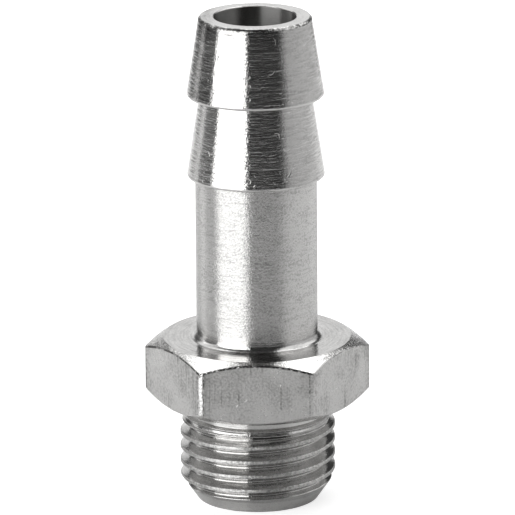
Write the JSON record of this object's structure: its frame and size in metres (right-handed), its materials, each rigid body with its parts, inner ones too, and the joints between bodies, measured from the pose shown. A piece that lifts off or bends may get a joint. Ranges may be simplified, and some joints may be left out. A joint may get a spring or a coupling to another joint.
{
  "type": "hose barb tail",
  "caption": "Straight hose tail turned from hexagon bar: male parallel pipe thread with run-out groove, chamfered spanner hexagon, plain stem and stepped cone barbs on a through bore.",
  "frame": {"origin": "centre of the flat end face of the threaded end, on which the part stands", "axes": "+Z along the bore from the threaded end to the tip of the hose end, two corners of the hexagon on the X axis, its flats facing +Y and -Y"},
  "size_m": [0.0138, 0.012, 0.0303],
  "materials": {
    "nickel_plated_brass": "bright nickel plate over fine turning marks"
  },
  "bodies": {
    "root": {"hose_tail": "nickel_plated_brass"}
  },
  "joints": []
}
